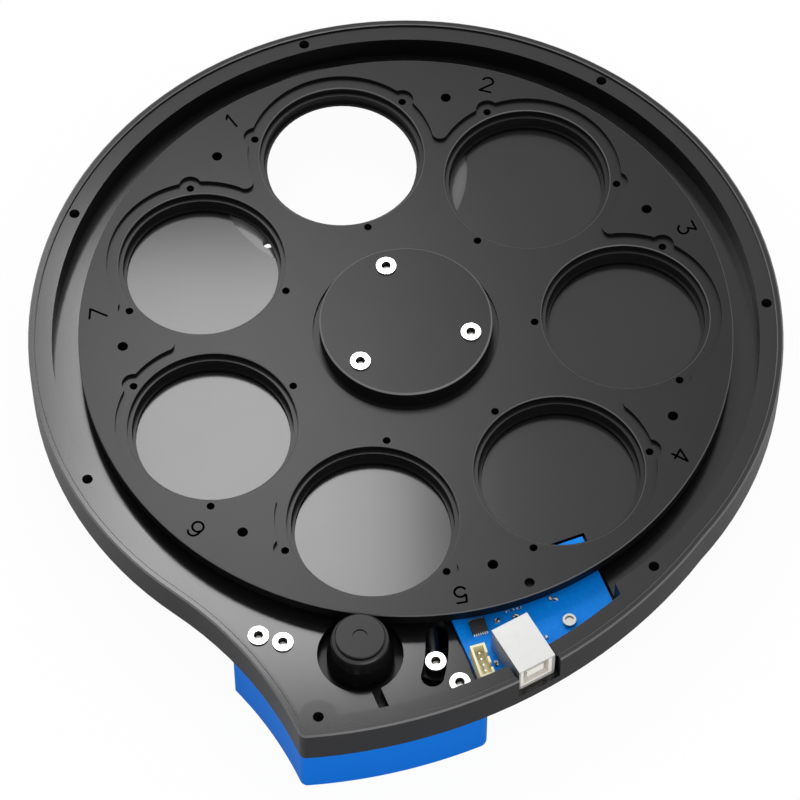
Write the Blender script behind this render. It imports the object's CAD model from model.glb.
"""Looks of the filter wheel: finishes, engraved digits, stage, light and camera."""
import math

import bmesh
import bpy
from mathutils import Euler, Matrix, Vector


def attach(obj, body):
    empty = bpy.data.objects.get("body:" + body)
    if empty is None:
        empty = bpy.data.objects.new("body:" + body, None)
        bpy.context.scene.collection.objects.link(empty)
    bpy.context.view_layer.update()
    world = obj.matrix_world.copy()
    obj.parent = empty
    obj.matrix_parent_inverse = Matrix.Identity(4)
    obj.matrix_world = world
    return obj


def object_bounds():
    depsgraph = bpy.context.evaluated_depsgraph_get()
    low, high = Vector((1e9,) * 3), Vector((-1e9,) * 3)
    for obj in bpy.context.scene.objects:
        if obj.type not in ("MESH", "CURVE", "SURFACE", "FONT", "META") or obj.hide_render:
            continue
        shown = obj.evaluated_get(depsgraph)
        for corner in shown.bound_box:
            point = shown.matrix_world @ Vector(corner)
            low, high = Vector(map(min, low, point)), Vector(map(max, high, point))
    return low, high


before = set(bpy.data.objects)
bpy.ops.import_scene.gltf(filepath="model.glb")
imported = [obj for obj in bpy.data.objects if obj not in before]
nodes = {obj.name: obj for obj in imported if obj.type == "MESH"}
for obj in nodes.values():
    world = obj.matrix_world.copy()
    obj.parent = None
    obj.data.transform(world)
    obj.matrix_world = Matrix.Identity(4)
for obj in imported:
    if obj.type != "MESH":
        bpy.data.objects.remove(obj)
cad_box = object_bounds()

MM = 0.001

# ---------------------------------------------------------------- sizes, in millimetres and degrees
SPINDLE = (0.0, -67.0)
FLOOR_Z = 4.0
CAROUSEL_TOP = 12.5
POCKETS = 7
DIGIT_RING = 93.5
DIGIT_TURN = 18.3
DIGIT_HIGH = 5.2
DIGIT_WIDE = 3.6
DIGIT_LINE = 0.68
DIGIT_LIFT = 0.015


def round_spindle(ring, angle):
    """A place on a ring round the spindle, at an angle in degrees."""
    turn = math.radians(angle)
    return (ring * math.cos(turn), ring * math.sin(turn) + SPINDLE[1])


PORT_RECESS_R = 39.2
PORT_RECESS_Z = (0.5, FLOOR_Z - 0.5)
COVER_HOLE_R = 1.6
COVER_HOLE_RING = 110.1
COVER_HOLES = [round_spindle(COVER_HOLE_RING, a) for a in (89.6, 38.8, -12.7, -65.9, 140.6)]
COVER_HOLES += [(-106.1, -89.5), (-63.4, -185.6)]
COVER_HOLE_PITCH = 0.6
POCKET_WALLS_R = (34.0, 96.5)
POCKET_THREAD_Z = (5.3, 8.7)
POCKET_PITCH = 0.75
CAP_SCREW_RING = 20.13
SCREW_AXES = [(-71.4, -150.9), (-19.7, -183.1), (-65.18, -155.06), (-24.28, -174.27)]
SCREW_AXES += [round_spindle(CAP_SCREW_RING, a) for a in (90, 210, 330)]
SOCKET_R = 1.46
SOCKET_SPOT_R = 1.0

# ---------------------------------------------------------------- stage, in metres, and light levels
WHITE = (1.0, 1.0, 1.0, 1.0)
FLOOR_SEEN = 0.95
FLOOR_MIRRORED = 0.45
FLOOR_HALF = 3.0
FLOOR_GAP = 0.0005
SOFT_LIGHT = 0.9
WHITE_LIGHT = 1.0

# ---------------------------------------------------------------- camera, in millimetres and degrees
CAMERA_AT = (-214.10, -750.95, 1158.31)
CAMERA_TURN = (31.096, 0.031, -17.291)
CAMERA_LENS = 200.57


# ---------------------------------------------------------------- shader maths
class Value:
    """One number in a material, with the operators that the finishes use."""

    def __init__(self, finish, socket):
        self.finish = finish
        self.socket = socket

    def _math(self, operation, a, b=None):
        inputs = {0: a} if b is None else {0: a, 1: b}
        return self.finish.node("ShaderNodeMath", {"operation": operation}, inputs)

    def __add__(self, other):
        return self._math("ADD", self, other)

    def __radd__(self, other):
        return self._math("ADD", other, self)

    def __sub__(self, other):
        return self._math("SUBTRACT", self, other)

    def __rsub__(self, other):
        return self._math("SUBTRACT", other, self)

    def __mul__(self, other):
        return self._math("MULTIPLY", self, other)

    def __rmul__(self, other):
        return self._math("MULTIPLY", other, self)

    def __truediv__(self, other):
        return self._math("DIVIDE", self, other)

    def over(self, limit):
        return self._math("GREATER_THAN", self, limit)

    def under(self, limit):
        return self._math("LESS_THAN", self, limit)

    def size(self):
        return self._math("ABSOLUTE", self)

    def ramp(self, low, high, to_low=0.0, to_high=1.0):
        """A straight ramp from to_low at low to to_high at high, held level outside."""
        return self.finish.node(
            "ShaderNodeMapRange", {"clamp": True}, {0: self, 1: low, 2: high, 3: to_low, 4: to_high}
        )


class Finish:
    """A material built from nodes, ending in one Principled shader."""

    def __init__(self, name, **constants):
        self.material = bpy.data.materials.new(name)
        self.material.use_nodes = True
        self.tree = self.material.node_tree
        self.tree.nodes.clear()
        self.shader = self.tree.nodes.new("ShaderNodeBsdfPrincipled")
        self.output = self.tree.nodes.new("ShaderNodeOutputMaterial")
        self.tree.links.new(self.shader.outputs["BSDF"], self.output.inputs["Surface"])
        for key, value in constants.items():
            self.shader.inputs[key.replace("_", " ")].default_value = value
        self.place = self.raw("ShaderNodeTexCoord").outputs["Object"]

    def raw(self, kind, settings=None, inputs=None):
        made = self.tree.nodes.new(kind)
        for key, value in (settings or {}).items():
            setattr(made, key, value)
        for key, value in (inputs or {}).items():
            self.join(value, made.inputs[key])
        return made

    def join(self, value, socket):
        if isinstance(value, Value):
            value = value.socket
        if isinstance(value, bpy.types.NodeSocket):
            self.tree.links.new(value, socket)
        else:
            socket.default_value = value

    def node(self, kind, settings=None, inputs=None, output=0):
        return Value(self, self.raw(kind, settings, inputs).outputs[output])

    def noise(self, scale, detail=2.0, rough=0.5, place=None):
        """Noise from 0 to 1, whose grains are about 1 / scale metres wide."""
        inputs = {"Vector": place or self.place, "Scale": scale, "Detail": detail, "Roughness": rough}
        return self.node("ShaderNodeTexNoise", None, inputs)

    def mix(self, factor, a, b):
        """A colour between a and b."""
        made = self.raw("ShaderNodeMix", {"data_type": "RGBA"})
        self.join(factor, made.inputs[0])
        self.join(a, made.inputs[6])
        self.join(b, made.inputs[7])
        return made.outputs[2]

    def axes(self):
        """The place in the part's own frame, in millimetres, one value for each axis."""
        split = self.raw("ShaderNodeSeparateXYZ", None, {0: self.place})
        return [Value(self, out) / MM for out in split.outputs]

    def facing_up(self):
        """1 on surfaces that face along +Z, 0 on upright walls."""
        normal = self.raw("ShaderNodeNewGeometry").outputs["True Normal"]
        up = self.node("ShaderNodeSeparateXYZ", None, {0: normal}, 2)
        return up.size().ramp(0.5, 0.8)

    def edges(self):
        """1 on chamfers, which slope between level and upright, else 0."""
        normal = self.raw("ShaderNodeNewGeometry").outputs["True Normal"]
        up = self.node("ShaderNodeSeparateXYZ", None, {0: normal}, 2).size()
        return up.over(0.35) * up.under(0.92)

    def thread(self, z, pitch):
        """Waves from -1 to 1 along z, one for each turn of a thread."""
        return self.node("ShaderNodeMath", {"operation": "SINE"}, {0: z * (2 * math.pi / pitch)})

    def near(self, flat_place, points, reach):
        """1 within reach of any of the points, looking along Z, else 0. All in millimetres."""
        found = 0
        for px, py in points:
            inputs = {0: flat_place, 1: (px, py, 0)}
            away = self.node("ShaderNodeVectorMath", {"operation": "DISTANCE"}, inputs, 1)
            found = away.under(reach) + found
        return found

    def set(self, **inputs):
        for key, value in inputs.items():
            self.join(value, self.shader.inputs[key.replace("_", " ")])

    def bump(self, height, distance, strength=1.0):
        """Relief from a height of 0 to 1, distance metres deep."""
        inputs = {"Strength": strength, "Distance": distance, "Height": height}
        made = self.raw("ShaderNodeBump", None, inputs)
        self.join(made.outputs[0], self.shader.inputs["Normal"])


def rgb(red, green, blue):
    return (red, green, blue, 1.0)


def grey(level):
    return rgb(level, level, level)


# ---------------------------------------------------------------- finishes
def black_anodised(name, sheen, level, upright, edge):
    """Sealed black anodising. The sealed coat shines on level faces and less on upright walls.

    Gives the finish, its base colour, its grain and its mask of level faces, to build on.
    """
    made = Finish(name, Specular_IOR_Level=0.1, Coat_Roughness=sheen)
    cloud = made.noise(70.0, 3.0)
    fine = made.noise(2600.0, 2.0, 0.6)
    flat = made.facing_up()
    low, high = rgb(0.0015, 0.0015, 0.0017), rgb(0.0040, 0.0040, 0.0044)
    black = made.mix(cloud * 0.5 + fine * 0.5, low, high)
    black = made.mix(made.edges(), black, rgb(edge, edge, edge * 1.02))
    made.set(Roughness=0.5 + (fine - 0.5) * 0.10 + (cloud - 0.5) * 0.05)
    made.set(Coat_Weight=upright + flat * (level - upright) + (cloud - 0.5) * 0.06)
    return made, black, fine, flat


def casing_finish():
    """Smooth black casing. The recess round the port is a little paler, and screw holes are threaded."""
    made, black, fine, flat = black_anodised("black_anodised_casing", 0.16, 0.86, 0.12, 0.10)
    x, y, z = made.axes()
    flat_place = made.raw("ShaderNodeCombineXYZ", None, {0: x, 1: y}).outputs[0]
    from_port = made.node("ShaderNodeVectorMath", {"operation": "LENGTH"}, {0: flat_place}, 1)
    recess = from_port.under(PORT_RECESS_R + 0.02) * z.under(PORT_RECESS_Z[1]) * z.over(PORT_RECESS_Z[0])
    made.set(Base_Color=made.mix(recess, black, rgb(0.10, 0.098, 0.10)))
    holes = made.near(flat_place, COVER_HOLES, COVER_HOLE_R + 0.05)
    thread = made.thread(z, COVER_HOLE_PITCH) * holes * z.over(FLOOR_Z)
    made.bump(fine * 0.02 + thread * 0.5, 0.0003)
    return made


def carousel_finish():
    """As the casing, a little duller, with the thread cut in the walls of the pockets."""
    made, black, fine, flat = black_anodised("black_anodised_carousel", 0.32, 0.46, 0.10, 0.09)
    x, y, z = made.axes()
    made.set(Base_Color=black)
    flat_place = made.raw("ShaderNodeCombineXYZ", None, {0: x, 1: y}).outputs[0]
    inputs = {0: flat_place, 1: (SPINDLE[0], SPINDLE[1], 0.0)}
    from_spindle = made.node("ShaderNodeVectorMath", {"operation": "DISTANCE"}, inputs, 1)
    bore = from_spindle.under(POCKET_WALLS_R[1]) * from_spindle.over(POCKET_WALLS_R[0]) * (1 - flat)
    threaded = bore * z.under(POCKET_THREAD_Z[1]) * z.over(POCKET_THREAD_Z[0])
    made.bump(fine * 0.04 + made.thread(z, POCKET_PITCH) * threaded * 0.5, 0.00022)
    return made


def turned_finish(name, upright, edge):
    """Turned black parts, such as the hub cap and the roller's core."""
    made, black, fine, flat = black_anodised(name, 0.30, 0.36, upright, edge)
    made.set(Base_Color=black)
    made.bump(fine, 0.00001)
    return made


def blue_finish():
    """Blue outside. Faces that look up, inside the shell, are dark."""
    made = Finish("blue_anodised", Specular_IOR_Level=0.02)
    cloud = made.noise(70.0, 3.0)
    fine = made.noise(2200.0, 2.0, 0.6)
    blue = made.mix(cloud * 0.5 + fine * 0.5, rgb(0.0, 0.130, 0.56), rgb(0.001, 0.160, 0.66))
    normal = made.raw("ShaderNodeNewGeometry").outputs["True Normal"]
    up = made.node("ShaderNodeSeparateXYZ", None, {0: normal}, 2)
    made.set(Base_Color=made.mix(up.over(0.5), blue, rgb(0.002, 0.003, 0.008)))
    made.set(Roughness=0.45 + (fine - 0.5) * 0.10 + (cloud - 0.5) * 0.05)
    made.bump(fine, 0.00001)
    return made


def steel(name, bright, rough):
    """Plain metal with faint clouds of brightness and a fine grain."""
    made = Finish(name, Metallic=1.0)
    fine = made.noise(3000.0, 2.0)
    broad = made.noise(400.0, 2.0)
    low = rgb(bright * 0.93, bright * 0.93, bright * 0.92)
    high = rgb(bright, bright, bright * 0.985)
    made.set(Base_Color=made.mix(broad, low, high))
    made.set(Roughness=rough + (fine - 0.5) * 0.12)
    made.bump(fine, 0.000004)
    return made


def tinned_finish():
    """Dull bright tin on legs and pins."""
    made = Finish("tinned_contact", Metallic=0.35)
    fine = made.noise(2600.0, 2.0)
    made.set(Base_Color=made.mix(fine, rgb(0.72, 0.72, 0.70), rgb(0.92, 0.92, 0.90)))
    made.set(Roughness=0.36 + (fine - 0.5) * 0.2)
    made.bump(fine, 0.000006)
    return made


def small_part_finish():
    """Tiny dark bodies with bright soldered ends."""
    made = Finish("small_part", Specular_IOR_Level=0.5)
    ends = made.noise(1400.0, 1.0).over(0.52)
    made.set(Base_Color=made.mix(ends, rgb(0.012, 0.010, 0.010), rgb(0.80, 0.78, 0.72)))
    made.set(Roughness=0.35 + ends * 0.15)
    made.bump(ends, 0.00002)
    return made


def screw_finish():
    """Bright nickel heads, whose sockets are dark with a few bright flecks at the bottom."""
    made = Finish("bright_screw", Metallic=1.0)
    x, y, z = made.axes()
    flat_place = made.raw("ShaderNodeCombineXYZ", None, {0: x, 1: y}).outputs[0]
    socket = made.near(flat_place, SCREW_AXES, SOCKET_R)
    spot = made.near(flat_place, SCREW_AXES, SOCKET_SPOT_R)
    fine = made.noise(3000.0, 2.0)
    bright = made.mix(made.noise(500.0), rgb(0.86, 0.86, 0.85), rgb(0.92, 0.92, 0.91))
    dull = made.mix(socket, bright, rgb(0.030, 0.028, 0.028))
    made.set(Base_Color=made.mix(spot * fine.over(0.40), dull, rgb(0.85, 0.83, 0.80)))
    made.set(Roughness=0.28 + socket * 0.1 + (fine - 0.5) * 0.12)
    made.bump(fine, 0.000004)
    return made


def plastic(name, low, high, rough, grain=1800.0, depth=0.00001, specular=0.5):
    """Moulded plastic between two close colours."""
    made = Finish(name, Specular_IOR_Level=specular)
    fine = made.noise(grain, 2.0)
    broad = made.noise(150.0, 2.0)
    made.set(Base_Color=made.mix(broad * 0.6 + fine * 0.4, low, high))
    made.set(Roughness=rough + (fine - 0.5) * 0.1)
    made.bump(fine, depth)
    return made


def board_finish():
    """Solder mask: glossy, with copper tracks that stand out faintly underneath."""
    made = Finish("solder_mask", Specular_IOR_Level=0.08)
    weave = made.noise(900.0, 3.0)
    cell = made.node(
        "ShaderNodeTexVoronoi", {"feature": "DISTANCE_TO_EDGE", "distance": "MANHATTAN"},
        {"Vector": made.place, "Scale": 260.0}
    )
    track = cell.ramp(0.02, 0.05, 1.0, 0.0)
    mask = track * 0.35 + weave * 0.25
    made.set(Base_Color=made.mix(mask, rgb(0.002, 0.24, 0.90), rgb(0.006, 0.33, 1.0)))
    made.set(Roughness=0.30 + (weave - 0.5) * 0.1)
    made.bump(track * 0.6 + weave * 0.1, 0.00002)
    return made


FINISHES = {
    "casing": casing_finish(),
    "carousel": carousel_finish(),
    "cap": turned_finish("black_anodised_cap", 0.10, 0.14),
    "roller": turned_finish("black_anodised_roller", 0.22, 0.003),
    "blue": blue_finish(),
    "bright": screw_finish(),
    "nut": steel("bright_nut", 0.36, 0.30),
    "steel": steel("plain_steel", 0.62, 0.34),
    "can": steel("zinc_can", 0.52, 0.42),
    "black": plastic("black_acetal", grey(0.003), grey(0.007), 0.4, specular=0.2),
    "tyre": plastic("tyre_polyurethane", grey(0.008), grey(0.014), 0.22, 1500.0, 0.000006),
    "board": board_finish(),
    "shell": steel("tinned_shell", 0.50, 0.50),
    "white": plastic("socket_insert", rgb(0.82, 0.79, 0.72), rgb(0.90, 0.87, 0.81), 0.45),
    "cream": plastic("cream_nylon", rgb(0.78, 0.71, 0.44), rgb(0.86, 0.80, 0.54), 0.45),
    "contact": tinned_finish(),
    "small": small_part_finish(),
    "chip": plastic("chip_package", grey(0.012), grey(0.028), 0.5),
}

DRESS = {
    "casing": "casing", "motor_cover": "blue", "motor_cover_screws": "bright",
    "spindle": "steel", "spindle_screw": "steel", "lower_bearing": "steel", "upper_bearing": "steel",
    "bearing_washer": "steel", "bearing_screw": "steel", "bearing_hub": "cap", "carousel": "carousel",
    "carousel_screws": "steel", "hub_cap": "cap", "hub_cap_screws": "bright", "index_magnet": "black",
    "pivot_screw": "bright", "pivot_nut": "steel", "swing_plate": "cap", "stepper_motor": "can",
    "motor_screws": "steel", "guide_bush": "black", "guide_screw": "bright", "spring_post": "steel",
    "anchor_post": "steel", "tension_spring": "steel", "motor_shaft": "steel", "roller_core": "roller",
    "roller_tyre": "tyre", "grub_screw": "steel", "circuit_board": "board", "board_nut": "nut",
    "usb_socket": "shell", "usb_tongue": "white", "motor_header": "cream", "header_pins": "contact",
    "controller_chip": "chip", "chip_legs": "contact", "surface_parts": "small", "hall_sensor": "chip",
}


def dress(obj, finish):
    obj.data.materials.clear()
    obj.data.materials.append(finish.material)


for name, finish in DRESS.items():
    dress(nodes[name], FINISHES[finish])


# ---------------------------------------------------------------- engraved digits
def arc(cx, cy, rx, ry, a0, a1, steps=16):
    """Points along part of an ellipse, from angle a0 to a1 in degrees."""
    turns = [math.radians(a0 + (a1 - a0) * i / steps) for i in range(steps + 1)]
    return [(cx + rx * math.cos(t), cy + ry * math.sin(t)) for t in turns]


def digit_strokes(number):
    """Single-line strokes of one digit, in a box 1 wide and 1 high round the middle."""
    return {
        1: [[(-0.22, 0.28), (0.08, 0.5), (0.08, -0.5)]],
        2: [arc(0, 0.22, 0.46, 0.28, 165, -20) + [(-0.48, -0.5), (0.5, -0.5)]],
        3: [[(-0.46, 0.5), (0.44, 0.5), (0.02, 0.08)] + arc(0, -0.2, 0.47, 0.3, 80, -155)],
        4: [[(0.22, -0.5), (0.22, 0.5), (-0.48, -0.22), (0.5, -0.22)]],
        5: [[(0.42, 0.5), (-0.36, 0.5), (-0.42, 0.06)] + arc(0, -0.18, 0.48, 0.32, 140, -150)],
        6: [arc(0.02, 0.12, 0.48, 0.38, 40, 180) + arc(0, -0.18, 0.47, 0.32, 180, 540, 28)],
        7: [[(-0.48, 0.5), (0.48, 0.5), (-0.12, -0.5)]],
    }[number]


def ribbon(mesh, points, width, z):
    """A flat strip with round ends along the points."""
    half = width / 2
    flat = [Vector((x, y)) for x, y in points]
    for a, b in zip(flat, flat[1:]):
        along = (b - a).normalized()
        side = Vector((-along.y, along.x)) * half
        mesh.faces.new([mesh.verts.new((*p, z)) for p in (a + side, a - side, b - side, b + side)])
    for p in flat:
        turns = [math.pi * i / 6 for i in range(12)]
        ring = [(p.x + half * math.cos(t), p.y + half * math.sin(t), z) for t in turns]
        mesh.faces.new([mesh.verts.new(place) for place in ring])


def piece(name, mesh, body, finish):
    """An object from a bmesh, dressed and carried by a body."""
    data = bpy.data.meshes.new(name)
    mesh.to_mesh(data)
    mesh.free()
    made = bpy.data.objects.new(name, data)
    bpy.context.scene.collection.objects.link(made)
    dress(made, finish)
    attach(made, body)
    return made


def engrave_digit(number):
    """A digit cut beside its pocket, with its top outward."""
    angle = 90 - (number - 1) * 360 / POCKETS + DIGIT_TURN
    mesh = bmesh.new()
    for stroke in digit_strokes(number):
        sized = [(x * DIGIT_WIDE * MM, y * DIGIT_HIGH * MM) for x, y in stroke]
        ribbon(mesh, sized, DIGIT_LINE * MM, 0.0)
    spot = Vector((*round_spindle(DIGIT_RING, angle), CAROUSEL_TOP + DIGIT_LIFT)) * MM
    upright = Matrix.Rotation(math.radians(angle) - math.pi / 2, 4, "Z")
    mesh.transform(Matrix.Translation(spot) @ upright)
    made = piece(f"digit_{number}", mesh, "carousel_body", FINISHES["engraved"])


FINISHES["engraved"] = plastic("engraved_line", grey(0.0), grey(0.0015), 0.9, specular=0.0)
for number in range(1, POCKETS + 1):
    engrave_digit(number)


# ---------------------------------------------------------------- stage, light, camera
def make_stage():
    """A white floor just below the part's lowest point. It shows as white and keeps the shadow."""
    finish = Finish("stage_white", Roughness=0.9)
    shade = finish.noise(3.0, 2.0)
    finish.set(Base_Color=finish.mix(shade, grey(0.80), grey(0.82)))
    glow = finish.raw("ShaderNodeEmission", None, {"Color": WHITE, "Strength": 1.0})
    path = finish.raw("ShaderNodeLightPath")
    camera_ray = Value(finish, path.outputs["Is Camera Ray"])
    glossy_ray = Value(finish, path.outputs["Is Glossy Ray"])
    seen = camera_ray * FLOOR_SEEN + glossy_ray * FLOOR_MIRRORED
    blend = finish.raw("ShaderNodeMixShader", None, {0: seen})
    finish.tree.links.new(finish.shader.outputs[0], blend.inputs[1])
    finish.tree.links.new(glow.outputs[0], blend.inputs[2])
    finish.tree.links.new(blend.outputs[0], finish.output.inputs["Surface"])
    mesh = bmesh.new()
    bmesh.ops.create_grid(mesh, x_segments=8, y_segments=8, size=FLOOR_HALF)
    data = bpy.data.meshes.new("stage_floor")
    mesh.to_mesh(data)
    mesh.free()
    floor = bpy.data.objects.new("stage_floor", data)
    bpy.context.scene.collection.objects.link(floor)
    floor.location = (0, 0, cad_box[0][2] - FLOOR_GAP)
    floor.data.materials.append(finish.material)


def make_world():
    """An even studio: a little softer as light than as what the camera and the metal see."""
    world = bpy.data.worlds.new("studio")
    world.use_nodes = True
    bpy.context.scene.world = world
    tree = world.node_tree
    tree.nodes.clear()
    path = tree.nodes.new("ShaderNodeLightPath")
    seen = tree.nodes.new("ShaderNodeMath")
    seen.operation = "MAXIMUM"
    tree.links.new(path.outputs["Is Camera Ray"], seen.inputs[0])
    tree.links.new(path.outputs["Is Glossy Ray"], seen.inputs[1])
    soft = tree.nodes.new("ShaderNodeBackground")
    soft.inputs["Color"].default_value = WHITE
    soft.inputs["Strength"].default_value = SOFT_LIGHT
    white = tree.nodes.new("ShaderNodeBackground")
    white.inputs["Color"].default_value = WHITE
    white.inputs["Strength"].default_value = WHITE_LIGHT
    blend = tree.nodes.new("ShaderNodeMixShader")
    out = tree.nodes.new("ShaderNodeOutputWorld")
    tree.links.new(seen.outputs[0], blend.inputs[0])
    tree.links.new(soft.outputs[0], blend.inputs[1])
    tree.links.new(white.outputs[0], blend.inputs[2])
    tree.links.new(blend.outputs[0], out.inputs["Surface"])


def softbox(name, at, aim, size, power):
    """A rectangular lamp of a size, at a place and pointed at another, all in millimetres."""
    lamp = bpy.data.lights.new(name, "AREA")
    lamp.shape = "RECTANGLE"
    lamp.size = size[0] * MM
    lamp.size_y = size[1] * MM
    lamp.energy = power
    made = bpy.data.objects.new(name, lamp)
    bpy.context.scene.collection.objects.link(made)
    made.location = Vector(at) * MM
    made.rotation_euler = (Vector(aim) - Vector(at)).to_track_quat("-Z", "Y").to_euler()


def make_lights():
    softbox("key_above", (5, 190, 504), (-60, -80, 4), (150, 190), 0.95)
    softbox("front_fill", (150, -900, 500), (0, -80, 0), (700, 500), 1.5)


def make_camera():
    data = bpy.data.cameras.new("camera")
    data.lens = CAMERA_LENS
    data.sensor_width = 36.0
    data.sensor_fit = "HORIZONTAL"
    data.clip_end = 20.0
    camera = bpy.data.objects.new("camera", data)
    bpy.context.scene.collection.objects.link(camera)
    camera.location = Vector(CAMERA_AT) * MM
    camera.rotation_euler = Euler([math.radians(v) for v in CAMERA_TURN], "XYZ")
    bpy.context.scene.camera = camera


make_stage()
make_world()
make_lights()
make_camera()
bpy.context.scene.view_settings.view_transform = "Standard"
